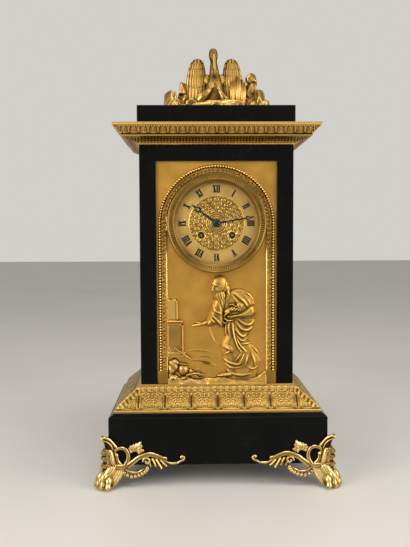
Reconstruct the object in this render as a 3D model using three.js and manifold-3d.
// Mantel clock: black marble case, gilt bronze mounts, spring-driven striking movement with a pendulum.
// Millimetres, +Z up, the dial faces -Y. The origin is on the floor, under the middle of the plinth.
import * as THREE from "three";
import { mergeVertices } from "three/addons/utils/BufferGeometryUtils.js";
import Module from "manifold-3d";

const wasm = await Module();
wasm.setup();

// Dial opening and panel
const BEZEL_RADIUS = 54;
const BEZEL_WIDTH = 10;
const BEZEL_DEPTH = 7.5;
const BEZEL_STANDOFF = 2;
const ARCH_GAP = 0.5;
const ARCH_WIDTH = 9.5;
const PANEL_MARGIN = 2;
const PANEL_RECESS = 4;
const PANEL_THICKNESS = 2;
const PANEL_HEIGHT = 244.5;
const PANEL_LAP = 4;
const DIAL_HEADROOM = 3.6;
const DIAL_EDGE = 0.9;
const BLOCK_HEIGHT = 14.3;
const RELIEF_HEADROOM = 2.6;
const RELIEF_DEPTH = 12.5;

// Marble case
const STILE = 18;
const CASE_DEPTH = 130;
const TOP_RAIL = 17.2;
const SLAB = 12;
const BASE_HEIGHT = 25.9;
const BASE_SPREAD = 27.5;
const PLINTH_OVERHANG = 32.5;
const PLINTH_HEIGHT = 53.7;
const PLINTH_BEVEL_RUN = 5;
const PLINTH_BEVEL_RISE = 3.5;
const FOOT_HEIGHT = 23.5;
const BRACKET_REACH = 82.3;
const SIDE_WING_SHARE = 0.8;
const BRACKET_THICKNESS = 4.4;
const CORNICE_HEIGHT = 20.5;
const CORNICE_SPREAD = 26.3;
const ATTIC_HEIGHT = 22.3;
const ATTIC_MARGIN = 2;
const FINIAL_SETBACK = 58;
const FINIAL_HEIGHT = 75.4;

// Movement
const DIAL_THICKNESS = 1.5;
const DIAL_PROUD = 2.5;
const DIAL_TO_PLATE = 8.75;
const PLATE_THICKNESS = 2;
const PLATE_GAP = 26;
const PLATE_RADIUS = 43;
const WINDING_X = 17;
const WINDING_DROP = 13;
const WHEEL_THICKNESS = 1.4;
const GREAT_WHEEL_THICKNESS = 2;
const DRUM_RADIUS = 14.6;
const ARBOR_RADIUS = 1.2;
const CENTRE_ARBOR_RADIUS = 1.8;
const WINDING_ARBOR_RADIUS = 2.2;
const PILLAR_RADIUS = 2.4;
const FIT = 0.25;
const SEAT_GAP = 0.3;
const GREAT_TEETH = 36;
const PINION_TEETH = 9;
const CENTRE_TEETH = 36;
const CENTRE_MODULE = 0.8;
const THIRD_TEETH = 32;
const THIRD_MODULE = 0.625;
const ESCAPE_PINION_TEETH = 8;
const ESCAPE_TEETH = 20;
const ESCAPE_RADIUS = 8.2;
const MINUTE_TEETH = 27;
const MINUTE_MODULE = 0.8333;
const HOUR_TEETH = 36;
const FLY_MODULE = 0.5625;
const PIN_WHEEL_TEETH = 32;
const FLY_PINION_TEETH = 8;
const ANCHOR_RISE = 12;
const HAND_TO_BEZEL = 1.5;
const HOUR_HAND_SHARE = 0.81;
const HAND_THICKNESS = 0.6;
const HAND_BOSS_RADIUS = 4.4;

// Pendulum, bell and rear door
const PENDULUM_PLANE = 9;
const PENDULUM_LENGTH = 150;
const BOB_RADIUS = 20;
const BOB_DEPTH = 8;
const BELL_RADIUS = 25;
const BELL_OFFSET = 15;
const BELL_PLANE = 20;
const HAMMER_DROP = 29;
const HAMMER_SIDE = 21;
const STRAP_THICKNESS = 2;
const STRAP_WIDTH = 9;
const STRAP_OFFSET = 46.5;
const REAR_HOLE = 46;
const REAR_RING_WIDTH = 7;
const REAR_DOOR_THICKNESS = 2;
const KNUCKLE_RADIUS = 1.3;
const HINGE_PIN_RADIUS = 0.6;

// Derived sizes
const TURN = Math.PI * 2;
const archInner = BEZEL_RADIUS + ARCH_GAP;
const archOuter = archInner + ARCH_WIDTH;
const openingHalf = archOuter + PANEL_MARGIN;
const caseHalf = openingHalf + STILE;
const plinthHalf = caseHalf + PLINTH_OVERHANG;
const plinthDepth = CASE_DEPTH + PLINTH_OVERHANG;
const caseFront = -plinthDepth / 2 + PLINTH_OVERHANG;
const caseBack = plinthDepth / 2;
const plinthFront = -plinthDepth / 2;
const plinthTop = FOOT_HEIGHT + PLINTH_HEIGHT;
const panelFloor = plinthTop + BASE_HEIGHT;
const panelTop = panelFloor + PANEL_HEIGHT;
const caseTop = panelTop + TOP_RAIL;
const corniceTop = caseTop + CORNICE_HEIGHT;
const atticTop = corniceTop + ATTIC_HEIGHT;
const dialZ = panelTop - archOuter - DIAL_HEADROOM;
const bezelInner = BEZEL_RADIUS - BEZEL_WIDTH;
const panelFront = caseFront + PANEL_RECESS;
const panelBack = panelFront + PANEL_THICKNESS;
const dialFront = panelFront - DIAL_PROUD;
const dialBack = dialFront + DIAL_THICKNESS;
const dialRadius = bezelInner + DIAL_EDGE;
const minuteHandLength = bezelInner - HAND_TO_BEZEL;
const hourHandLength = minuteHandLength * HOUR_HAND_SHARE;
const frontPlateFace = dialBack + DIAL_TO_PLATE;
const frontPlateBack = frontPlateFace + PLATE_THICKNESS;
const backPlateFace = frontPlateBack + PLATE_GAP;
const backPlateBack = backPlateFace + PLATE_THICKNESS;
const bezelBack = caseFront - BEZEL_STANDOFF;
const bezelFront = bezelBack - BEZEL_DEPTH;

const group = new THREE.Group();
group.name = "mantel_clock";

function material(color, roughness, metalness) {
  return new THREE.MeshStandardMaterial({ color, roughness, metalness });
}

const marble = material(0x17181a, 0.22, 0);
const gilt = material(0xb9924a, 0.38, 1);
const brass = material(0xc2a052, 0.35, 1);
const steel = material(0x8d9196, 0.35, 1);
const bluedSteel = material(0x16181d, 0.3, 0.9);
const glass = material(0xdfe8e6, 0.05, 0);
glass.transparent = true;
glass.opacity = 0.25;

// Turns a geometry's faces outwards if they point in.
function facingOut(geometry) {
  const bare = geometry.index ? geometry : mergeVertices(geometry);
  const p = bare.attributes.position;
  const index = bare.index;
  const a = new THREE.Vector3();
  const b = new THREE.Vector3();
  const c = new THREE.Vector3();
  let volume = 0;
  for (let i = 0; i < index.count; i += 3) {
    a.fromBufferAttribute(p, index.getX(i));
    b.fromBufferAttribute(p, index.getX(i + 1));
    c.fromBufferAttribute(p, index.getX(i + 2));
    volume += a.dot(b.cross(c));
  }
  if (volume >= 0) return bare;
  for (let i = 0; i < index.count; i += 3) {
    const second = index.getX(i + 1);
    index.setX(i + 1, index.getX(i + 2));
    index.setX(i + 2, second);
  }
  return bare;
}

// A geometry with position alone, shared corners merged and faces outwards.
function tidy(geometry) {
  const bare = geometry.clone();
  bare.deleteAttribute("normal");
  bare.deleteAttribute("uv");
  return facingOut(mergeVertices(bare, 1e-4));
}

function solidOf(geometry) {
  const clean = tidy(geometry);
  const vertProperties = clean.attributes.position.array;
  const triVerts = new Uint32Array(clean.index.array);
  return new wasm.Manifold(new wasm.Mesh({ numProp: 3, vertProperties, triVerts }));
}

function geometryOf(solid) {
  const mesh = solid.getMesh();
  const geometry = new THREE.BufferGeometry();
  const positions = new Float32Array(mesh.numVert * 3);
  for (let i = 0; i < mesh.numVert; i++) {
    for (let k = 0; k < 3; k++) positions[i * 3 + k] = mesh.vertProperties[i * mesh.numProp + k];
  }
  geometry.setAttribute("position", new THREE.BufferAttribute(positions, 3));
  geometry.setIndex(new THREE.BufferAttribute(new Uint32Array(mesh.triVerts), 1));
  return geometry;
}

function join(...geometries) {
  return geometryOf(geometries.map(solidOf).reduce((sum, next) => sum.add(next)));
}

function cut(geometry, ...tools) {
  return geometryOf(tools.map(solidOf).reduce((left, tool) => left.subtract(tool), solidOf(geometry)));
}

// Moves each corner of a geometry to place(corner).
function carry(geometry, place) {
  const p = geometry.attributes.position;
  const at = new THREE.Vector3();
  for (let i = 0; i < p.count; i++) {
    at.fromBufferAttribute(p, i);
    const to = place(at);
    p.setXYZ(i, to.x, to.y, to.z);
  }
  return tidy(geometry);
}

function add(name, geometry, look, x = 0, z = 0) {
  const clean = tidy(geometry);
  clean.computeVertexNormals();
  const mesh = new THREE.Mesh(clean, look);
  mesh.name = name;
  mesh.position.set(x, 0, z);
  group.add(mesh);
  return mesh;
}

function box(x0, x1, y0, y1, z0, z1) {
  const geometry = new THREE.BoxGeometry(x1 - x0, y1 - y0, z1 - z0);
  return geometry.translate((x0 + x1) / 2, (y0 + y1) / 2, (z0 + z1) / 2);
}

// A flat shape drawn in x and z, from the front plane back to the back plane.
function sheet(shape, front, back, curveSegments = 10) {
  const options = { depth: back - front, bevelEnabled: false, curveSegments };
  return new THREE.ExtrudeGeometry(shape, options).rotateX(Math.PI / 2).translate(0, back, 0);
}

function rod(radius, front, back, x = 0, z = 0, sides = 8) {
  return new THREE.CylinderGeometry(radius, radius, back - front, sides).translate(x, (front + back) / 2, z);
}

function post(radius, bottom, top, x, y, sides = 10) {
  const geometry = new THREE.CylinderGeometry(radius, radius, top - bottom, sides).rotateX(Math.PI / 2);
  return geometry.translate(x, y, (bottom + top) / 2);
}

// A turned piece about the front-to-back axis, from [radius, y] points.
function turned(points, sides = 40) {
  return new THREE.LatheGeometry(points.map(([r, y]) => new THREE.Vector2(r, y)), sides);
}

function ball(x, y, z, rx, ry, rz, sides = 8) {
  return new THREE.SphereGeometry(1, sides, sides - 2).scale(rx, ry, rz).translate(x, y, z);
}

function outline(points) {
  return new THREE.Shape(points.map(([x, z]) => new THREE.Vector2(x, z)));
}

function round(radius, sides = 40) {
  const points = [];
  for (let i = 0; i < sides; i++) {
    const angle = (i / sides) * TURN;
    points.push([radius * Math.cos(angle), radius * Math.sin(angle)]);
  }
  return outline(points);
}

function hole(shape, x, z, radius, sides = 8) {
  const path = new THREE.Path();
  for (let i = 0; i <= sides; i++) {
    const angle = -(i / sides) * TURN;
    const px = x + radius * Math.cos(angle);
    const pz = z + radius * Math.sin(angle);
    if (i === 0) path.moveTo(px, pz);
    else if (i < sides) path.lineTo(px, pz);
  }
  path.closePath();
  shape.holes.push(path);
  return shape;
}

// A swelling limb: a cylinder carried along a curve through stations [x, y, z, across, deep].
function limb(stations, { sides = 6, steps = 5, face = [0, -1, 0], blunt = 0.45, grow = 0 } = {}) {
  const curve = new THREE.CatmullRomCurve3(stations.map(([x, y, z]) => new THREE.Vector3(x, y, z)));
  const facing = new THREE.Vector3(...face);
  const last = stations.length - 1;
  const sized = (t, slot) => {
    const at = Math.min(t * last, last - 1e-9);
    const low = Math.floor(at);
    return stations[low][slot] + (stations[low + 1][slot] - stations[low][slot]) * (at - low) + grow;
  };
  return carry(new THREE.CylinderGeometry(1, 1, 1, sides, steps), (corner) => {
    const t = corner.y + 0.5;
    const tangent = curve.getTangent(t);
    const deep = facing.clone().addScaledVector(tangent, -facing.dot(tangent)).normalize();
    const across = new THREE.Vector3().crossVectors(tangent, deep);
    const end = t < 1e-6 || t > 1 - 1e-6 ? blunt : 1;
    const point = curve.getPoint(t);
    point.addScaledVector(across, corner.x * end * sized(t, 3));
    point.addScaledVector(deep, corner.z * end * sized(t, 4));
    return point;
  });
}

// Gear outline: teeth with straight flanks and a flat tip; phase is the angle of the first tooth.
function gear(teeth, pitchRadius, phase, { windows = 0, hub = 0 } = {}) {
  const pitch = TURN / teeth;
  const unit = (2 * pitchRadius) / teeth;
  const tip = pitchRadius + unit * 0.55;
  const root = pitchRadius - unit * 1.15;
  const points = [];
  for (let i = 0; i < teeth; i++) {
    const middle = phase + i * pitch;
    const corners = [[tip, -0.1], [tip, 0.1], [root, 0.5]];
    for (const [radius, share] of corners) {
      const angle = middle + share * pitch;
      points.push([radius * Math.cos(angle), radius * Math.sin(angle)]);
    }
  }
  const shape = outline(points);
  for (let i = 0; i < windows; i++) {
    shape.holes.push(spokeWindow(hub, root - unit * 1.6, (i / windows) * TURN, TURN / windows));
  }
  return shape;
}

function spokeWindow(inner, outer, start, span) {
  const path = new THREE.Path();
  const arms = 4;
  const points = [];
  for (let i = 0; i <= arms; i++) points.push([outer, start + span * (0.1 + (0.8 * i) / arms)]);
  for (let i = arms; i >= 0; i--) points.push([inner, start + span * (0.2 + (0.6 * i) / arms)]);
  points.forEach(([radius, angle], i) => {
    const x = radius * Math.cos(angle);
    const z = radius * Math.sin(angle);
    if (i === 0) path.moveTo(x, z);
    else path.lineTo(x, z);
  });
  path.closePath();
  return path;
}

// Phase of a gear that meshes with one already placed: its tooth stands in the other's gap.
function meshing(placed, teeth, heading) {
  const share = (heading - placed.phase) / (TURN / placed.teeth);
  return heading + Math.PI - (TURN / teeth) * (0.5 - share);
}

// Marble plinth with a bevelled top edge
function makePlinth() {
  const middle = (FOOT_HEIGHT + plinthTop) / 2;
  const block = new THREE.BoxGeometry(2, plinthDepth, PLINTH_HEIGHT, 1, 1, 2);
  return carry(block, (corner) => {
    const inset = corner.z > PLINTH_HEIGHT / 2 - 1e-6 ? PLINTH_BEVEL_RUN : 0;
    const shoulder = Math.abs(corner.z) < 1e-6;
    const x = Math.sign(corner.x) * (plinthHalf - inset);
    const y = corner.y < 0 ? plinthFront + inset : caseBack;
    return new THREE.Vector3(x, y, shoulder ? plinthTop - PLINTH_BEVEL_RISE : middle + corner.z);
  });
}

// A moulding on the front and both sides, mitred at the corners: profile points are [spread, height].
function threeSided(profile, bottom) {
  const strip = new THREE.ExtrudeGeometry(outline(profile), { depth: 3, steps: 3, bevelEnabled: false });
  return carry(strip, (corner) => {
    const station = Math.round(corner.z);
    const side = station < 2 ? -1 : 1;
    const atBack = station === 0 || station === 3;
    const y = atBack ? caseBack : caseFront - corner.x;
    return new THREE.Vector3(side * (caseHalf + corner.x), y, bottom + corner.y);
  });
}

// Moulding profiles: shares of the spread and of the height
const baseShares = [
  [0, 0], [1, 0], [1, 0.085], [0.945, 0.124], [0.91, 0.162], [0.72, 0.347], [0.5, 0.521], [0.3, 0.695],
  [0.2, 0.772], [0.18, 0.811], [0.13, 0.9], [0.065, 0.946], [0.055, 1], [0, 1],
];
const baseProfile = baseShares.map(([out, up]) => [out * BASE_SPREAD, up * BASE_HEIGHT]);

const corniceShares = [
  [0, 0], [0.046, 0], [0.084, 0.059], [0.171, 0.176], [0.304, 0.268], [0.56, 0.322], [0.64, 0.351], [0.64, 0.439],
  [0.66, 0.468], [0.74, 0.605], [0.86, 0.741], [0.95, 0.839], [1, 0.883], [1, 1], [0, 1],
];
const corniceProfile = corniceShares.map(([out, up]) => [out * CORNICE_SPREAD, up * CORNICE_HEIGHT]);

// Front frame: the opening shows the panel, and a rebate behind it takes the panel's edge
function makeFrontFrame() {
  const body = box(-caseHalf, caseHalf, caseFront, caseFront + SLAB, plinthTop, caseTop);
  const light = box(-openingHalf, openingHalf, caseFront - 1, caseFront + SLAB + 1, panelFloor, panelTop);
  const reach = openingHalf + PANEL_LAP + SEAT_GAP;
  const low = panelFloor - PANEL_LAP - SEAT_GAP;
  const high = panelTop + PANEL_LAP + SEAT_GAP;
  const rebate = box(-reach, reach, panelFront, caseFront + SLAB + 1, low, high);
  return cut(body, light, rebate);
}

function makePanel() {
  const reach = openingHalf + PANEL_LAP;
  const low = panelFloor - PANEL_LAP - dialZ;
  const high = panelTop + PANEL_LAP - dialZ;
  const shape = outline([[-reach, low], [reach, low], [reach, high], [-reach, high]]);
  hole(shape, 0, 0, dialRadius + SEAT_GAP, 40);
  return sheet(shape, panelFront, panelBack);
}

// Arched border: a moulding carried up the left jamb, over the dial and down the right jamb
function makeArchBorder() {
  const depth = PANEL_RECESS;
  const profile = [
    [0, 0], [0, depth * 0.55], [ARCH_WIDTH * 0.085, depth * 0.62], [ARCH_WIDTH * 0.3, depth * 0.42],
    [ARCH_WIDTH * 0.55, depth * 0.62], [ARCH_WIDTH * 0.66, depth * 0.85], [ARCH_WIDTH * 0.72, depth],
    [ARCH_WIDTH * 0.915, depth], [ARCH_WIDTH, depth * 0.75], [ARCH_WIDTH, 0],
  ];
  const arcSteps = 20;
  const stations = arcSteps + 2;
  const bar = new THREE.ExtrudeGeometry(outline(profile), { depth: stations, steps: stations, bevelEnabled: false });
  const foot = panelFloor + BLOCK_HEIGHT - 1;
  const swept = carry(bar, (corner) => {
    const radius = archInner + corner.x;
    const station = Math.round(corner.z);
    const y = panelFront - corner.y;
    if (station === 0) return new THREE.Vector3(-radius, y, foot);
    if (station === stations) return new THREE.Vector3(radius, y, foot);
    const angle = Math.PI * (1 - (station - 1) / arcSteps);
    return new THREE.Vector3(radius * Math.cos(angle), y, dialZ + radius * Math.sin(angle));
  });
  const blocks = [-1, 1].map((side) => {
    const near = side * (archInner - 0.3);
    const far = side * (archOuter + 0.8);
    const top = panelFloor + BLOCK_HEIGHT;
    return box(Math.min(near, far), Math.max(near, far), caseFront, panelFront, panelFloor, top);
  });
  return join(swept, ...blocks);
}

// Relief, drawn as x, height above the panel's floor and depth, and fitted to the room below the bezel
const drawing = { half: 54.5, height: 120.3, depth: 12.5 };
const reliefHeight = dialZ - BEZEL_RADIUS - RELIEF_HEADROOM - panelFloor;

function onPanel(x, z, across, deep) {
  return [x, 0, z, across, deep];
}

function lump(x, z, rx, rz, deep) {
  return ball(x, 0, z, rx, deep, rz);
}

// Trims what lies behind the panel's face, under its floor or past its left edge, and fits the rest to the panel.
function fitRelief(geometry) {
  const { half, height, depth } = drawing;
  const behind = box(-half * 2, half * 2, 0, depth * 4, -height, height * 2);
  const under = box(-half * 2, half * 2, -depth * 4, depth * 4, -height, 0);
  const beside = box(-half * 4, -half + SEAT_GAP, -depth * 4, depth * 4, -height, height * 2);
  return carry(cut(geometry, behind, under, beside), (at) => new THREE.Vector3(
    (at.x * archInner) / half,
    panelFront + (at.y * RELIEF_DEPTH) / depth,
    panelFloor + (at.z * reliefHeight) / height,
  ));
}

function makeFigure() {
  const robe = limb([
    onPanel(27, 7, 20, 6), onPanel(27, 22, 21, 7), onPanel(23, 44, 17.5, 8), onPanel(21, 60, 15, 8),
    onPanel(22, 74, 17, 9), onPanel(23, 90, 19.5, 10), onPanel(25, 103, 13, 8),
  ], { steps: 8, sides: 10, blunt: 0.7 });
  const mantle = limb([
    onPanel(33, 104, 5, 7), onPanel(38, 90, 6, 8), onPanel(37, 70, 5.5, 8), onPanel(40, 44, 5, 7),
    onPanel(44, 18, 5, 6),
  ], { steps: 7, sides: 6 });
  const skirtFold = limb([onPanel(10, 70, 3, 8), onPanel(9, 44, 3.4, 8.5), onPanel(12, 12, 4, 7.5)]);
  const middleFold = limb([onPanel(20, 66, 3, 9.5), onPanel(21, 42, 3.2, 10), onPanel(26, 10, 3.6, 8)]);
  const head = lump(4.5, 109.5, 8.6, 10.8, 9.5);
  const beard = limb([onPanel(1.5, 104, 5, 8), onPanel(5, 92, 5.5, 9), onPanel(9, 82, 2.5, 8)]);
  const arm = limb([
    onPanel(6, 92, 7, 9), onPanel(-3, 84, 6.5, 9), onPanel(-8, 74, 5.8, 8.5), onPanel(-15, 67.6, 3.4, 6.5),
    onPanel(-21, 65.6, 2.6, 5), onPanel(-27.5, 64.6, 1.6, 3.5),
  ], { steps: 8, sides: 6 });
  const sleeve = limb([onPanel(-2, 80, 4, 9.5), onPanel(-6, 70, 5.2, 9), onPanel(-4, 60, 3, 6)]);
  const infant = limb([onPanel(9, 83, 4.5, 11.5), onPanel(17, 86, 6, 12.5), onPanel(25, 80, 5, 11)]);
  const infantHead = lump(9.5, 89, 4.6, 4.8, 12);
  const shoe = limb([onPanel(13, 10, 4, 7), onPanel(5, 9.4, 3.2, 7), onPanel(-0.5, 9, 1.8, 5)]);
  const ground = limb([onPanel(-8, 3.5, 3.4, 7), onPanel(20, 4.2, 4, 8), onPanel(52, 4, 4.2, 7)], { blunt: 0.8 });
  const rock = lump(47, 7, 6, 7, 7.5);
  const pieces = [mantle, skirtFold, middleFold, head, beard, arm, sleeve, infant, infantHead, shoe, ground, rock];
  return fitRelief(join(robe, ...pieces));
}

function makeRuin() {
  const block = (x0, x1, z0, z1, deep) => box(x0, x1, -deep, 1, z0, z1);
  const stub = block(-53.5, -42.5, 70, 94, 3);
  const slab = block(-53.8, -37.2, 66.5, 71.2, 5.5);
  const pedestal = block(-53.5, -36, 30, 67, 4);
  const footing = block(-53.8, -34.4, 30, 38, 5.2);
  const plank = limb([onPanel(-46, 39.6, 2, 7), onPanel(-30, 28, 2, 7)], { steps: 1, blunt: 1, sides: 6 });
  const bundle = limb([onPanel(-50, 13, 7, 6), onPanel(-42, 18, 9, 8), onPanel(-33, 19, 6, 7.5)]);
  const childHead = lump(-31.5, 20, 4.6, 5, 8);
  const rocks = [lump(-47, 26, 7, 7, 5.5), lump(-45, 5, 9, 7.5, 7), lump(-34, 6, 8, 6.5, 6.5)];
  const limbLow = limb([onPanel(-34, 9, 3.2, 6), onPanel(-24, 10.8, 2.6, 5.5), onPanel(-14, 9.4, 1.8, 4.5)]);
  const ground = limb([onPanel(-52, 3, 3, 6), onPanel(-32, 3.5, 3.5, 6.5), onPanel(-13.5, 3.4, 3.2, 6)]);
  const pieces = [slab, pedestal, footing, plank, bundle, childHead, ...rocks, limbLow, ground];
  return fitRelief(join(stub, ...pieces));
}

// Silhouette of a foot's bracket: distance from the plinth's corner, height above the plinth's underside
function bracketShape() {
  const garland = [[-1, -2], [8, -3], [17, -6.5], [26.6, -10], [36, -8], [42, -3], [45, 2.5]];
  const leafDrops = [[47, 0.5], [50.5, 5.5], [54, 4], [58, -2.4], [60.5, 5], [64.5, -0.5]];
  const curl = [[68, 3], [76, 2.8], [81, 5.4], [82.3, 9.5], [80.6, 13], [78, 12], [77, 8.8], [71, 8]];
  const arm = [[66, 12.5], [58, 15.8], [49, 19], [42, 19]];
  const palmette = [[40, 21], [35, 28], [28.5, 22], [22, 21]];
  const scroll = [[17.5, 23.8], [11, 23.2], [5, 18], [-1, 14]];
  const shape = outline([...garland, ...leafDrops, ...curl, ...arm, ...palmette, ...scroll]);
  hole(shape, 14.5, 14.8, 4.4, 8);
  hole(shape, 27.5, 12.4, 2.6, 6);
  return shape;
}

// Foot at the front left corner of the plinth, drawn with x and y along the front and the side from the corner
const footDrawing = { height: 23.5, reach: 82.3 };

function makeFoot() {
  const rise = footDrawing.height;
  const bracketScale = BRACKET_REACH / footDrawing.reach;
  const front = sheet(bracketShape(), -BRACKET_THICKNESS / bracketScale, 0).translate(0, 0, rise);
  const side = carry(front.clone(), (at) => new THREE.Vector3(at.y, at.x * SIDE_WING_SHARE, at.z));
  const diagonal = { face: [-Math.SQRT1_2, -Math.SQRT1_2, 0], sides: 6 };
  const leaf = limb([
    [0, 0, rise - 2, 9, 5], [-0.6, -0.6, rise + 12, 8.5, 5.6], [-2, -2, rise + 26, 9, 3.6],
    [-5.4, -5.4, rise + 36.5, 4, 2],
  ], { ...diagonal, steps: 4 });
  const leg = limb([
    [8, 8, rise + 1, 12, 10], [3, 3, rise * 0.8, 9, 8], [-2.5, -2.5, rise * 0.55, 6.6, 6.4],
    [-6, -6, rise * 0.26, 7.4, 6.6],
  ], { ...diagonal, steps: 4 });
  const pad = ball(-5.4, -5.4, 4.6, 7.4, 7.4, 5.6, 6);
  const toes = [-0.95, -0.32, 0.32, 0.95].map((swing) => {
    const angle = Math.PI * 1.25 + swing;
    const reach = 7.4;
    return ball(-5.4 + reach * Math.cos(angle), -5.4 + reach * Math.sin(angle), 3.1, 3.7, 3.7, 4, 5);
  });
  const reach = footDrawing.reach * 2;
  const slab = box(0, reach, 0, reach, rise, rise + reach);
  const floor = box(-reach, reach, -reach, reach, -reach, 0);
  const drawn = cut(join(leaf, leg, pad, ...toes, front, side), slab, floor);
  return carry(drawn, (at) => {
    const z = at.z < rise ? (at.z * FOOT_HEIGHT) / rise : FOOT_HEIGHT + (at.z - rise) * bracketScale;
    return new THREE.Vector3(at.x * bracketScale, at.y * bracketScale, z);
  });
}

function addFeet() {
  const foot = makeFoot();
  const corners = [["front_left", 1, 1], ["front_right", -1, 1], ["rear_left", 1, -1], ["rear_right", -1, -1]];
  for (const [name, sideX, sideY] of corners) {
    const placed = carry(foot.clone(), (at) => {
      const y = sideY > 0 ? plinthFront + at.y : caseBack - at.y;
      return new THREE.Vector3(sideX * (at.x - plinthHalf), y, at.z);
    });
    add(`foot_${name}`, placed, gilt);
  }
}

// Finial: a parent bird with raised wings above two young, on a rocky base
const finialY = caseFront + FINIAL_SETBACK;
const finialScale = FINIAL_HEIGHT / 75.4;

function onAttic(geometry) {
  return geometry.scale(finialScale, finialScale, finialScale).translate(0, finialY, atticTop);
}

function makeBird(grow) {
  const place = (x, y, z, across, deep) => [x, y, z, across, deep];
  const body = limb([
    place(0, 6, 16, 9, 8), place(0, 5, 26, 12, 10), place(0, 3, 38, 11, 9), place(-0.6, 0, 48, 6, 6),
    place(-1.2, -1, 58, 4.6, 5), place(-1.6, -2, 68, 5, 5.4), place(-1.6, -2, 75.4, 4, 4.2),
  ], { steps: 10, sides: 8, grow });
  const beak = limb([place(-1.4, -5, 67, 2.2, 2), place(-1, -7, 60, 1.6, 1.6), place(-0.6, -7.5, 53, 0.8, 0.8)], { steps: 3, grow });
  const wings = [-1, 1].map((side) => limb([
    place(side * 14, 8, 16, 6, 3), place(side * 21, 8, 30, 11, 4), place(side * 21.4, 8, 45, 10.6, 3.6),
    place(side * 20.6, 7, 55, 7.4, 3), place(side * 20, 6, 61, 3, 2.2),
  ], { steps: 6, sides: 6, grow }));
  const shoulders = [-1, 1].map((side) => limb([
    place(side * 4, 5, 38, 7, 6), place(side * 11, 7, 40, 6, 4.6), place(side * 18, 8, 44, 4, 3),
  ], { steps: 2, sides: 6, grow }));
  return join(body, beak, ...wings, ...shoulders);
}

function makeNest() {
  const place = (x, y, z, across, deep) => [x, y, z, across, deep];
  const lumpAt = (x, y, z, rx, ry, rz) => ball(x, y, z, rx, ry, rz, 6);
  const mound = lumpAt(1, 2, 4, 54, 20, 14);
  const rocks = [
    lumpAt(-50, 0, 16, 8, 10, 13.5), lumpAt(-53, -2, 6, 7, 10, 10), lumpAt(-39, 6, 18, 7, 9, 19),
    lumpAt(50, 0, 15, 8, 10, 15.5), lumpAt(56, -2, 5, 8, 9, 10),
  ];
  const stump = limb([place(35, 4, 8, 6, 6), place(37, 5, 30, 5.4, 5.4), place(40, 6, 48, 5, 4.6)], { steps: 4 });
  const young = [-1, 1].map((side) => limb([
    place(side * 19, -4, 14, 6.5, 6), place(side * 13, -7, 23, 5, 5), place(side * 6, -8, 31, 3.4, 3.6),
    place(side * 1.6, -7.4, 37, 2.4, 2.6),
  ], { steps: 4, sides: 6 }));
  const reach = 100;
  const below = box(-reach, reach, -reach, reach, -reach, 0);
  return cut(join(mound, ...rocks, stump, ...young), makeBird(SEAT_GAP), below);
}

// Bezel: a turned ring with a rebate for the glass and a knuckle at the left edge
const hingeX = -(BEZEL_RADIUS + 0.2);
const hingeY = bezelBack + 0.25;
const glassBack = bezelBack - 1.6;
const glassFront = glassBack - 1.2;
const knuckleHalf = 3;
const knuckleEnd = 7.5;

function makeBezel() {
  const glassSeat = bezelInner + 2;
  const ring = turned([
    [glassSeat, bezelBack], [glassSeat, glassFront - SEAT_GAP], [bezelInner, glassFront - SEAT_GAP],
    [bezelInner, glassFront - 1], [bezelInner + 2.8, bezelFront + 1.3],
    [BEZEL_RADIUS - 1.9, bezelFront + 0.6], [BEZEL_RADIUS - 1, bezelFront],
    [BEZEL_RADIUS, bezelFront + 1.2], [BEZEL_RADIUS, bezelBack], [glassSeat, bezelBack],
  ], 36);
  const placed = ring.translate(0, 0, dialZ);
  const reach = knuckleEnd + SEAT_GAP;
  const notch = post(KNUCKLE_RADIUS + 0.35, dialZ - reach, dialZ + reach, hingeX, hingeY);
  const knuckle = post(KNUCKLE_RADIUS, dialZ - knuckleHalf, dialZ + knuckleHalf, hingeX, hingeY);
  const webBack = bezelBack + 0.6;
  const web = box(hingeX, hingeX + 3.4, webBack - 2.4, webBack, dialZ - knuckleHalf, dialZ + knuckleHalf);
  const bore = post(HINGE_PIN_RADIUS + FIT, dialZ - 20, dialZ + 20, hingeX, hingeY);
  return cut(join(cut(placed, notch), knuckle, web), bore);
}

// Fixed ring round the dial, with the two outer knuckles of the bezel's hinge
function makeDialRing() {
  const inner = dialRadius + SEAT_GAP;
  const outer = BEZEL_RADIUS - 3.6;
  const front = bezelBack + SEAT_GAP;
  const ring = turned([[inner, front], [outer, front], [outer, panelFront], [inner, panelFront], [inner, front]], 32);
  const placed = ring.translate(0, 0, dialZ);
  const pieces = [-1, 1].flatMap((side) => {
    const low = dialZ + side * (knuckleHalf + SEAT_GAP);
    const high = dialZ + side * knuckleEnd;
    const bottom = Math.min(low, high);
    const top = Math.max(low, high);
    const knuckle = post(KNUCKLE_RADIUS, bottom, top, hingeX, hingeY);
    const web = box(hingeX + 0.5, -outer + 1.5, front, front + 1.1, bottom, top);
    return [knuckle, web];
  });
  const bore = post(HINGE_PIN_RADIUS, dialZ - 20, dialZ + 20, hingeX, hingeY);
  return cut(join(placed, ...pieces), bore);
}

// Movement layout: arbor places are relative to the dial's centre
const arbors = {
  centre: [0, 0],
  going: [WINDING_X, -WINDING_DROP],
  strike: [-WINDING_X, -WINDING_DROP],
};
const windingReach = Math.hypot(WINDING_X, WINDING_DROP);
const greatRadius = (windingReach * GREAT_TEETH) / (GREAT_TEETH + PINION_TEETH);
const centrePinionRadius = windingReach - greatRadius;
const centreRadius = (CENTRE_TEETH * CENTRE_MODULE) / 2;
const thirdPinionRadius = (PINION_TEETH * CENTRE_MODULE) / 2;
const thirdRadius = (THIRD_TEETH * THIRD_MODULE) / 2;
const escapePinionRadius = (ESCAPE_PINION_TEETH * THIRD_MODULE) / 2;
const thirdHeading = (55 / 180) * Math.PI;
const thirdReach = centreRadius + thirdPinionRadius;
arbors.third = [thirdReach * Math.cos(thirdHeading), thirdReach * Math.sin(thirdHeading)];
const escapeReach = thirdRadius + escapePinionRadius;
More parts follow.
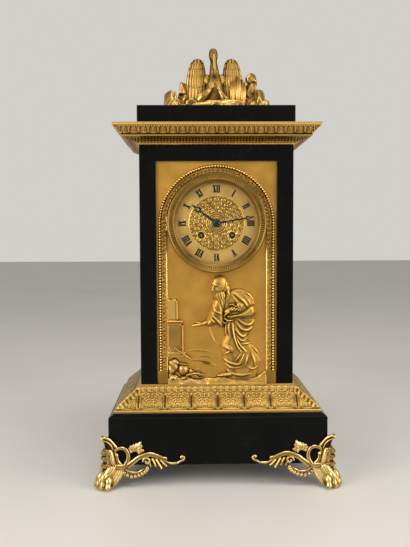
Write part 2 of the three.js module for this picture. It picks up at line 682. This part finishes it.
arbors.escape = [0, arbors.third[1] + Math.sqrt(escapeReach ** 2 - arbors.third[0] ** 2)];
arbors.anchor = [0, arbors.escape[1] + ANCHOR_RISE];
const cannonRadius = (PINION_TEETH * MINUTE_MODULE) / 2;
const minuteRadius = (MINUTE_TEETH * MINUTE_MODULE) / 2;
const minuteReach = cannonRadius + minuteRadius;
const hourRadius = (minuteReach * HOUR_TEETH) / (HOUR_TEETH + PINION_TEETH);
const minutePinionRadius = minuteReach - hourRadius;
const minuteHeading = (125 / 180) * Math.PI;
arbors.minute = [minuteReach * Math.cos(minuteHeading), minuteReach * Math.sin(minuteHeading)];
const pinHeading = (110 / 180) * Math.PI;
arbors.pin = [
  arbors.strike[0] + windingReach * Math.cos(pinHeading),
  arbors.strike[1] + windingReach * Math.sin(pinHeading),
];
const pinWheelRadius = (PIN_WHEEL_TEETH * FLY_MODULE) / 2;
const flyPinionRadius = (FLY_PINION_TEETH * FLY_MODULE) / 2;
const flyReach = pinWheelRadius + flyPinionRadius;
const flyHeading = (60 / 180) * Math.PI;
arbors.fly = [arbors.pin[0] + flyReach * Math.cos(flyHeading), arbors.pin[1] + flyReach * Math.sin(flyHeading)];
const pillars = [[12, -37], [-12, -37], [30, 24], [-30, 24]];
arbors.hammer = [-HAMMER_SIDE, -HAMMER_DROP];
arbors.bell = [BELL_OFFSET, 0];

const goingPlane = frontPlateBack + 0.7;
const goingDrumEnd = goingPlane + GREAT_WHEEL_THICKNESS + 17;
const strikePlane = goingDrumEnd + 1.1;
const strikeDrumStart = goingPlane + GREAT_WHEEL_THICKNESS + 0.8;
const trainPlane = strikePlane + GREAT_WHEEL_THICKNESS + 0.5;
const thirdPlane = goingPlane + 4.3;
const escapePlane = thirdPlane + 6;
const cannonPlane = frontPlateFace - 3.6;
const hourPlane = cannonPlane - WHEEL_THICKNESS - 1.2;
const pivotFront = frontPlateBack - PLATE_THICKNESS * 0.75;
const pivotBack = backPlateFace + PLATE_THICKNESS * 0.75;

function heading(from, to) {
  return Math.atan2(to[1] - from[1], to[0] - from[0]);
}

const phases = {};
phases.centrePinion = 0;
phases.centreWheel = 0;
phases.cannon = 0;
const centrePinionGear = { phase: phases.centrePinion, teeth: PINION_TEETH };
phases.great = meshing(centrePinionGear, GREAT_TEETH, heading(arbors.centre, arbors.going));
const centreWheelGear = { phase: phases.centreWheel, teeth: CENTRE_TEETH };
phases.thirdPinion = meshing(centreWheelGear, PINION_TEETH, thirdHeading);
const thirdWheelGear = { phase: 0, teeth: THIRD_TEETH };
phases.escapePinion = meshing(thirdWheelGear, ESCAPE_PINION_TEETH, heading(arbors.third, arbors.escape));
phases.minuteWheel = meshing({ phase: 0, teeth: PINION_TEETH }, MINUTE_TEETH, minuteHeading);
phases.hourWheel = meshing({ phase: 0, teeth: PINION_TEETH }, HOUR_TEETH, minuteHeading + Math.PI);
phases.pinPinion = meshing({ phase: 0, teeth: GREAT_TEETH }, PINION_TEETH, pinHeading);
phases.flyPinion = meshing({ phase: 0, teeth: PIN_WHEEL_TEETH }, FLY_PINION_TEETH, flyHeading);

function wheelSheet(shape, front) {
  return sheet(shape, front, front + WHEEL_THICKNESS);
}

function makeDial() {
  const shape = round(dialRadius, 44);
  hole(shape, 0, 0, CENTRE_ARBOR_RADIUS + 2.2, 14);
  for (const side of [-1, 1]) hole(shape, side * WINDING_X, -WINDING_DROP, WINDING_ARBOR_RADIUS + 1.2, 14);
  const face = sheet(shape, dialFront, dialBack);
  const feet = [[0, -30], [27, 15], [-27, 15]].map(([x, z]) => rod(1.6, dialBack - 0.5, frontPlateFace, x, z, 8));
  return join(face, ...feet);
}

function makeFrontPlate() {
  const shape = round(PLATE_RADIUS, 32);
  hole(shape, 0, 0, CENTRE_ARBOR_RADIUS + FIT);
  for (const name of ["going", "strike"]) hole(shape, ...arbors[name], WINDING_ARBOR_RADIUS + FIT);
  for (const name of ["third", "escape", "anchor", "pin", "fly"]) hole(shape, ...arbors[name], ARBOR_RADIUS + FIT, 8);
  hole(shape, ...arbors.minute, ARBOR_RADIUS + FIT, 8);
  const plate = sheet(shape, frontPlateFace, frontPlateBack);
  const ears = [-1, 1].map((side) => {
    const near = side * (PLATE_RADIUS - 2);
    const far = side * STRAP_OFFSET;
    return box(Math.min(near, far), Math.max(near, far), frontPlateFace, frontPlateBack, -4, 4);
  });
  return join(plate, ...ears);
}

function makeBackPlate() {
  const shape = round(PLATE_RADIUS, 32);
  hole(shape, 0, 0, CENTRE_ARBOR_RADIUS + FIT);
  for (const name of ["going", "strike"]) hole(shape, ...arbors[name], WINDING_ARBOR_RADIUS + FIT);
  for (const name of ["third", "escape", "anchor", "pin", "fly", "hammer"]) {
    hole(shape, ...arbors[name], ARBOR_RADIUS + FIT, 8);
  }
  return sheet(shape, backPlateFace, backPlateBack);
}

function makeBarrel(wheelFront, drumFront, drumBack, phase) {
  const wheel = sheet(gear(GREAT_TEETH, greatRadius, phase), wheelFront, wheelFront + GREAT_WHEEL_THICKNESS);
  const drum = rod(DRUM_RADIUS, drumFront, drumBack, 0, 0, 28);
  const bore = rod(WINDING_ARBOR_RADIUS + FIT, frontPlateFace, backPlateBack, 0, 0, 12);
  return cut(join(wheel, drum), bore);
}

function makeWindingArbor() {
  const shaft = rod(WINDING_ARBOR_RADIUS, frontPlateFace - 6.2, pivotBack, 0, 0, 12);
  const square = box(-1.5, 1.5, dialFront + 0.2, frontPlateFace - 6, -1.5, 1.5);
  const ratchet = [];
  const clicks = 14;
  for (let i = 0; i < clicks; i++) {
    const angle = (i / clicks) * TURN;
    ratchet.push([5.2 * Math.cos(angle), 5.2 * Math.sin(angle)]);
    ratchet.push([6.4 * Math.cos(angle), 6.4 * Math.sin(angle)]);
  }
  const wheel = sheet(outline(ratchet.reverse()), frontPlateFace - 1.8, frontPlateFace - 0.4);
  return join(shaft, square, wheel);
}

function makeCentreWheel() {
  const wheel = wheelSheet(gear(CENTRE_TEETH, centreRadius, phases.centreWheel, { windows: 4, hub: 4 }), trainPlane);
  const pinionFront = goingPlane - 0.3;
  const pinionBack = goingPlane + GREAT_WHEEL_THICKNESS + 0.3;
  const pinion = sheet(gear(PINION_TEETH, centrePinionRadius, phases.centrePinion), pinionFront, pinionBack);
  const cannon = wheelSheet(gear(PINION_TEETH, cannonRadius, phases.cannon), cannonPlane);
  const arbor = rod(CENTRE_ARBOR_RADIUS, minuteHandFront, pivotBack, 0, 0, 12);
  return join(arbor, wheel, pinion, cannon);
}

function makeThirdWheel() {
  const wheel = wheelSheet(gear(THIRD_TEETH, thirdRadius, 0, { windows: 4, hub: 3.2 }), thirdPlane);
  const pinionFront = trainPlane - 0.2;
  const pinionBack = trainPlane + WHEEL_THICKNESS + 0.2;
  const pinion = sheet(gear(PINION_TEETH, thirdPinionRadius, phases.thirdPinion), pinionFront, pinionBack);
  return join(rod(ARBOR_RADIUS, pivotFront, pivotBack), wheel, pinion);
}

function makeEscapeWheel() {
  const points = [];
  for (let i = 0; i < ESCAPE_TEETH; i++) {
    const angle = (i / ESCAPE_TEETH) * TURN;
    const step = TURN / ESCAPE_TEETH;
    const corners = [[0.78, 0], [1, 0.34], [0.99, 0.46], [0.78, 0.6]];
    for (const [share, turn] of corners) {
      const radius = ESCAPE_RADIUS * share;
      points.push([radius * Math.cos(angle + turn * step), radius * Math.sin(angle + turn * step)]);
    }
  }
  const wheel = wheelSheet(outline(points), escapePlane);
  const pinionFront = thirdPlane - 0.2;
  const pinionBack = thirdPlane + WHEEL_THICKNESS + 0.2;
  const pinion = sheet(gear(ESCAPE_PINION_TEETH, escapePinionRadius, phases.escapePinion), pinionFront, pinionBack);
  return join(rod(ARBOR_RADIUS, pivotFront, pivotBack), wheel, pinion);
}

// Anchor above the escape wheel, and the crutch that hangs from its arbor behind the back plate
const crutchLength = 30;
const crutchPlane = backPlateBack + PENDULUM_PLANE - 4;
const pendulumY = backPlateBack + PENDULUM_PLANE;

function makeAnchor() {
  const drop = ANCHOR_RISE;
  const arms = [-1, 1].map((side) => limb([
    [0, escapePlane + 0.7, 0, 1.6, 0.7], [side * 5, escapePlane + 0.7, -1.2, 1.5, 0.7],
    [side * 8.6, escapePlane + 0.7, -drop * 0.5, 1, 0.7],
  ], { steps: 4, sides: 4, blunt: 1 }));
  const arbor = rod(ARBOR_RADIUS, pivotFront, crutchPlane + 1.2);
  const stem = box(-0.9, 0.9, crutchPlane - 0.6, crutchPlane + 0.6, -crutchLength, 0);
  const fork = [-1, 1].map((side) => {
    const near = side * (1.1 + FIT);
    const far = side * 2.9;
    return box(Math.min(near, far), Math.max(near, far), crutchPlane, pendulumY + 1.5, -crutchLength - 1.5, -crutchLength + 1);
  });
  const yoke = box(-2.9, 2.9, crutchPlane - 0.6, crutchPlane + 0.6, -crutchLength - 1.5, -crutchLength + 1);
  return join(arbor, ...arms, stem, yoke, ...fork);
}

function makeSuspensionCock() {
  const foot = box(-9, 9, backPlateBack, backPlateBack + 1.6, 4.8, 8.8);
  const arm = box(-3, 3, backPlateBack, pendulumY + 3, 4.8, 8.8);
  return join(foot, arm);
}

function makePendulumRod() {
  const top = 4.4;
  const spring = box(-2.2, 2.2, pendulumY - 0.3, pendulumY + 0.3, -6, top);
  const rodPart = post(1.1, -PENDULUM_LENGTH - BOB_RADIUS - 9, -5, 0, pendulumY, 8);
  return join(spring, rodPart);
}

function makeBob() {
  const half = BOB_DEPTH / 2;
  const lens = turned([
    [0, -half], [BOB_RADIUS * 0.45, -half * 0.9], [BOB_RADIUS * 0.82, -half * 0.5], [BOB_RADIUS, -0.8],
    [BOB_RADIUS, 0.8], [BOB_RADIUS * 0.82, half * 0.5], [BOB_RADIUS * 0.45, half * 0.9], [0, half],
  ], 22);
  const slot = post(1.1 + FIT, -BOB_RADIUS - 1, BOB_RADIUS + 1, 0, 0, 8);
  return cut(lens, slot);
}

function makeRatingNut() {
  const nut = post(3, -2, 2, 0, 0, 12);
  const bore = post(1.1 + FIT * 0.4, -3, 3, 0, 0, 8);
  return cut(nut, bore);
}

// Hands in the moon pattern: a boss, a tapering shank, an open ring and a leaf-shaped point
function moonHand(length, ringShare, ringRadius, bossRadius, bore, shank) {
  const ringAt = length * ringShare;
  const boss = round(bossRadius, 14);
  const stem = outline([
    [-shank, 0], [shank, 0], [shank * 0.62, ringAt - ringRadius + 0.3], [-shank * 0.62, ringAt - ringRadius + 0.3],
  ]);
  const ring = round(ringRadius, 14);
  hole(ring, 0, ringRadius * 0.14, ringRadius * 0.62, 10);
  const tipBase = ringAt + ringRadius - 0.3;
  const tip = outline([
    [-shank * 0.5, tipBase], [shank * 0.5, tipBase], [shank * 0.9, tipBase + (length - tipBase) * 0.3], [0, length],
    [-shank * 0.9, tipBase + (length - tipBase) * 0.3],
  ]);
  const front = -HAND_THICKNESS;
  const placedRing = sheet(ring, front, 0).translate(0, 0, ringAt);
  const solid = join(sheet(boss, front, 0), sheet(stem, front, 0), placedRing, sheet(tip, front, 0));
  return cut(solid, rod(bore, -5, 5, 0, 0, 14));
}

const hourHandFront = dialFront - 1.4;
const minuteHandFront = hourHandFront - 1.3;
const hourPipeRadius = CENTRE_ARBOR_RADIUS + 1.2;
const shownTime = 10 * 60 + 13.4;
const minuteAngle = ((shownTime % 60) / 60) * TURN;
const hourAngle = (shownTime / 720) * TURN;

function addHands() {
  const minute = moonHand(minuteHandLength, 0.82, 2.6, 4.2, CENTRE_ARBOR_RADIUS + 0.05, 1.1);
  add("minute_hand", minute.rotateY(minuteAngle).translate(0, minuteHandFront + HAND_THICKNESS, 0), bluedSteel, 0, dialZ);
  const hour = moonHand(hourHandLength, 0.745, 3.5, 4.6, hourPipeRadius + 0.05, 1.4);
  add("hour_hand", hour.rotateY(hourAngle).translate(0, hourHandFront + HAND_THICKNESS, 0), bluedSteel, 0, dialZ);
  const nutBack = minuteHandFront - 0.1;
  const wide = HAND_BOSS_RADIUS;
  const dome = turned([
    [0, nutBack], [wide, nutBack], [wide * 0.9, nutBack - 0.7], [wide * 0.5, nutBack - 1.3], [0, nutBack - 1.5],
  ], 20);
  add("hand_nut", dome, bluedSteel, 0, dialZ);
}

function makeHourWheel() {
  const wheel = wheelSheet(gear(HOUR_TEETH, hourRadius, phases.hourWheel, { windows: 4, hub: 4.6 }), hourPlane);
  const pipe = rod(hourPipeRadius, hourHandFront, hourPlane + WHEEL_THICKNESS, 0, 0, 14);
  const bore = rod(CENTRE_ARBOR_RADIUS + 0.45, hourHandFront - 5, hourPlane + 10, 0, 0, 12);
  return cut(join(wheel, pipe), bore);
}

function makeMinuteWheel() {
  const wheel = wheelSheet(gear(MINUTE_TEETH, minuteRadius, phases.minuteWheel, { windows: 3, hub: 4 }), cannonPlane);
  const pinion = sheet(gear(PINION_TEETH, minutePinionRadius, 0), hourPlane - 0.2, cannonPlane + 0.2);
  const arbor = rod(ARBOR_RADIUS, hourPlane - 0.6, frontPlateBack - 0.5);
  return join(wheel, pinion, arbor);
}

// Strike work
function makePinWheel() {
  const wheel = wheelSheet(gear(PIN_WHEEL_TEETH, pinWheelRadius, 0), trainPlane);
  const pinionFront = strikePlane - 0.2;
  const pinion = sheet(gear(PINION_TEETH, centrePinionRadius, phases.pinPinion), pinionFront, trainPlane + 0.2);
  const pins = [];
  for (let i = 0; i < 8; i++) {
    const angle = (i / 8) * TURN;
    const reach = pinWheelRadius - 2.2;
    const front = trainPlane + WHEEL_THICKNESS - 0.2;
    pins.push(rod(0.5, front, backPlateFace - 0.3, reach * Math.cos(angle), reach * Math.sin(angle), 6));
  }
  return join(rod(ARBOR_RADIUS, pivotFront, backPlateBack + 2.4), wheel, pinion, ...pins);
}

function makeCountWheel() {
  const points = [];
  const notches = [0, 3, 7, 12, 18, 25, 33, 36];
  const stepsRound = 39;
  const spot = (radius, step) => {
    const angle = (step / stepsRound) * TURN;
    points.push([radius * Math.cos(angle), radius * Math.sin(angle)]);
  };
  notches.forEach((start, i) => {
    const end = i + 1 < notches.length ? notches[i + 1] : stepsRound;
    for (const step of [start, start + 1]) spot(8.6, step + 0.001);
    for (let step = start + 1; step <= end; step += 2) spot(10.6, step);
  });
  const shape = outline(points);
  hole(shape, 0, 0, ARBOR_RADIUS + 0.05, 10);
  return sheet(shape, backPlateBack + 0.6, backPlateBack + 1.8);
}

function makeFly() {
  const pinion = sheet(gear(FLY_PINION_TEETH, flyPinionRadius, phases.flyPinion), trainPlane - 0.2, trainPlane + WHEEL_THICKNESS + 0.2);
  const blade = box(-0.4, 0.4, trainPlane - 16, trainPlane - 4, -6.4, 6.4);
  return join(rod(ARBOR_RADIUS, pivotFront, pivotBack), pinion, blade);
}

const bellY = backPlateBack + BELL_PLANE;

function makeBell() {
  const wall = 1.4;
  const depth = 15;
  const outer = [];
  const inner = [];
  for (let i = 0; i <= 5; i++) {
    const angle = (i / 5) * (Math.PI / 2);
    outer.push([BELL_RADIUS * Math.cos(angle), bellY + depth * Math.sin(angle)]);
    inner.push([(BELL_RADIUS - wall) * Math.cos(angle), bellY + (depth - wall) * Math.sin(angle)]);
  }
  outer[5][0] = 2;
  inner[5][0] = 2;
  return turned([...outer, ...inner.reverse(), outer[0]], 20);
}

function makeBellStand() {
  const stem = rod(1.6, backPlateBack, bellY + 15.6, 0, 0, 10);
  const seat = rod(3.4, bellY + 9, bellY + 13.6 - SEAT_GAP, 0, 0, 12);
  const nut = rod(3.2, bellY + 15 + SEAT_GAP, bellY + 18, 0, 0, 6);
  const foot = rod(3, backPlateBack, backPlateBack + 1.6, 0, 0, 12);
  return join(stem, seat, nut, foot);
}

function makeHammer() {
  const plane = bellY + 1.6;
  const headX = BELL_OFFSET - BELL_RADIUS + HAMMER_SIDE - 4.6;
  const shaft = rod(ARBOR_RADIUS, backPlateBack - PLATE_THICKNESS * 0.75, plane + 1.4);
  const arm = limb([[0, plane, 0, 1.1, 1], [-1.5, plane, HAMMER_DROP * 0.5, 0.9, 0.9], [headX - 1, plane, HAMMER_DROP, 0.9, 0.9]], { steps: 4, sides: 6, blunt: 1 });
  const head = new THREE.CylinderGeometry(3, 3, 7.4, 12).rotateZ(Math.PI / 2).translate(headX, plane, HAMMER_DROP);
  return join(shaft, arm, head);
}

// Rear ring and door
const rearHingeX = REAR_HOLE + REAR_RING_WIDTH + 1.2;
const rearRingBack = caseBack + 3;
const rearHingeY = rearRingBack + 1.3;

function makeBackPanel() {
  const low = plinthTop - dialZ;
  const high = caseTop - dialZ;
  const shape = outline([[-caseHalf, low], [caseHalf, low], [caseHalf, high], [-caseHalf, high]]);
  hole(shape, 0, 0, REAR_HOLE, 40);
  return sheet(shape, caseBack - SLAB, caseBack);
}

function makeRearRing() {
  const outer = REAR_HOLE + REAR_RING_WIDTH;
  const ring = turned([[REAR_HOLE, caseBack], [outer, caseBack], [outer, rearRingBack], [REAR_HOLE, rearRingBack], [REAR_HOLE, caseBack]], 36);
  const pieces = [-1, 1].flatMap((side) => {
    const low = side * (knuckleHalf + SEAT_GAP);
    const high = side * knuckleEnd;
    const bottom = Math.min(low, high);
    const top = Math.max(low, high);
    const knuckle = post(KNUCKLE_RADIUS, bottom, top, rearHingeX, rearHingeY);
    return [knuckle, box(outer - 2.4, rearHingeX + 0.6, caseBack + 0.6, rearRingBack + 0.6, bottom, top)];
  });
  const bore = post(HINGE_PIN_RADIUS, -20, 20, rearHingeX, rearHingeY);
  return cut(join(ring, ...pieces), bore);
}

function makeRearDoor() {
  const front = rearRingBack + SEAT_GAP;
  const back = front + REAR_DOOR_THICKNESS;
  const edge = REAR_HOLE + REAR_RING_WIDTH - 2.6;
  const disc = turned([[0, front], [edge, front], [edge, back], [edge - 3, back + 1], [edge - 6, back + 0.2], [0, back + 0.2]], 36);
  const knuckle = post(KNUCKLE_RADIUS, -knuckleHalf, knuckleHalf, rearHingeX, rearHingeY);
  const arm = box(edge - 2, rearHingeX, front, front + 1.4, -knuckleHalf, knuckleHalf);
  const bore = post(HINGE_PIN_RADIUS + FIT, -20, 20, rearHingeX, rearHingeY);
  return cut(join(disc, knuckle, arm), bore);
}

function makeKnob() {
  const back = rearRingBack + SEAT_GAP + REAR_DOOR_THICKNESS + 0.2;
  return turned([[0, back], [1.6, back], [1.6, back + 2.4], [3.2, back + 4], [2.6, back + 6], [0, back + 6.6]], 16);
}

function makeStrap(side) {
  const near = side * STRAP_OFFSET;
  const far = side * (STRAP_OFFSET + STRAP_THICKNESS);
  const half = STRAP_WIDTH / 2;
  return box(Math.min(near, far), Math.max(near, far), panelBack, caseBack - SLAB, dialZ - half, dialZ + half);
}

// Case and mounts
add("plinth", makePlinth(), marble);
addFeet();
add("base_moulding", threeSided(baseProfile, plinthTop), gilt);
add("front_frame", makeFrontFrame(), marble);
const sideBack = caseBack - SLAB;
add("left_side", box(-caseHalf, -caseHalf + SLAB, caseFront + SLAB, sideBack, plinthTop, caseTop), marble);
add("right_side", box(caseHalf - SLAB, caseHalf, caseFront + SLAB, sideBack, plinthTop, caseTop), marble);
add("back_panel", makeBackPanel(), marble, 0, dialZ);
add("cornice_core", box(-caseHalf, caseHalf, caseFront, caseBack, caseTop, corniceTop), marble);
add("cornice", threeSided(corniceProfile, caseTop), gilt);
const atticHalf = caseHalf + ATTIC_MARGIN;
add("attic_block", box(-atticHalf, atticHalf, caseFront, caseBack, corniceTop, atticTop), marble);
add("finial_base", onAttic(makeNest()), gilt);
add("finial_bird", onAttic(makeBird(0)), gilt);
add("panel_plate", makePanel(), gilt, 0, dialZ);
add("arch_border", makeArchBorder(), gilt);
add("relief_figure", makeFigure(), gilt);
add("relief_ruin", makeRuin(), gilt);

// Dial, bezel and hands
add("dial_ring", makeDialRing(), gilt);
add("dial", makeDial(), gilt, 0, dialZ);
add("bezel", makeBezel(), gilt);
add("bezel_glass", rod(bezelInner + 1.7, glassFront, glassBack, 0, 0, 48), glass, 0, dialZ);
add("bezel_hinge_pin", post(HINGE_PIN_RADIUS - 0.02, dialZ - knuckleEnd, dialZ + knuckleEnd, hingeX, hingeY, 8), brass);
addHands();

// Movement
add("front_plate", makeFrontPlate(), brass, 0, dialZ);
add("back_plate", makeBackPlate(), brass, 0, dialZ);
pillars.forEach(([x, z], i) => {
  add(`pillar_${i + 1}`, rod(PILLAR_RADIUS, frontPlateBack, backPlateFace, 0, 0, 12), brass, x, dialZ + z);
});
const goingDrumStart = goingPlane + GREAT_WHEEL_THICKNESS - 0.2;
const goingBarrel = makeBarrel(goingPlane, goingDrumStart, goingDrumEnd, phases.great);
add("going_barrel", goingBarrel, brass, arbors.going[0], dialZ + arbors.going[1]);
add("going_arbor", makeWindingArbor(), steel, arbors.going[0], dialZ + arbors.going[1]);
const strikeBarrel = makeBarrel(strikePlane, strikeDrumStart, strikePlane + 0.2, 0);
add("strike_barrel", strikeBarrel, brass, arbors.strike[0], dialZ + arbors.strike[1]);
add("strike_arbor", makeWindingArbor(), steel, arbors.strike[0], dialZ + arbors.strike[1]);
add("centre_wheel", makeCentreWheel(), brass, 0, dialZ);
add("third_wheel", makeThirdWheel(), brass, arbors.third[0], dialZ + arbors.third[1]);
add("escape_wheel", makeEscapeWheel(), brass, arbors.escape[0], dialZ + arbors.escape[1]);
add("anchor", makeAnchor(), steel, arbors.anchor[0], dialZ + arbors.anchor[1]);
add("minute_wheel", makeMinuteWheel(), brass, arbors.minute[0], dialZ + arbors.minute[1]);
add("hour_wheel", makeHourWheel(), brass, 0, dialZ);
add("suspension_cock", makeSuspensionCock(), brass, 0, dialZ + arbors.anchor[1]);
const pivotZ = dialZ + arbors.anchor[1];
add("pendulum_rod", makePendulumRod(), steel, 0, pivotZ);
add("pendulum_bob", makeBob().translate(0, pendulumY, 0), brass, 0, pivotZ - PENDULUM_LENGTH);
add("rating_nut", makeRatingNut().translate(0, pendulumY, 0), brass, 0, pivotZ - PENDULUM_LENGTH - BOB_RADIUS - 3);
add("pin_wheel", makePinWheel(), brass, arbors.pin[0], dialZ + arbors.pin[1]);
add("count_wheel", makeCountWheel(), brass, arbors.pin[0], dialZ + arbors.pin[1]);
add("strike_fly", makeFly(), brass, arbors.fly[0], dialZ + arbors.fly[1]);
add("bell", makeBell(), brass, arbors.bell[0], dialZ + arbors.bell[1]);
add("bell_stand", makeBellStand(), steel, arbors.bell[0], dialZ + arbors.bell[1]);
add("hammer", makeHammer(), steel, arbors.hammer[0], dialZ + arbors.hammer[1]);
add("strap_left", makeStrap(-1), brass);
add("strap_right", makeStrap(1), brass);

// Back of the case
add("rear_ring", makeRearRing(), brass, 0, dialZ);
add("rear_door", makeRearDoor(), brass, 0, dialZ);
add("rear_knob", makeKnob(), brass, -REAR_HOLE + 10, dialZ);
add("rear_hinge_pin", post(HINGE_PIN_RADIUS - 0.02, -knuckleEnd, knuckleEnd, rearHingeX, rearHingeY, 8), brass, 0, dialZ);

export default group;
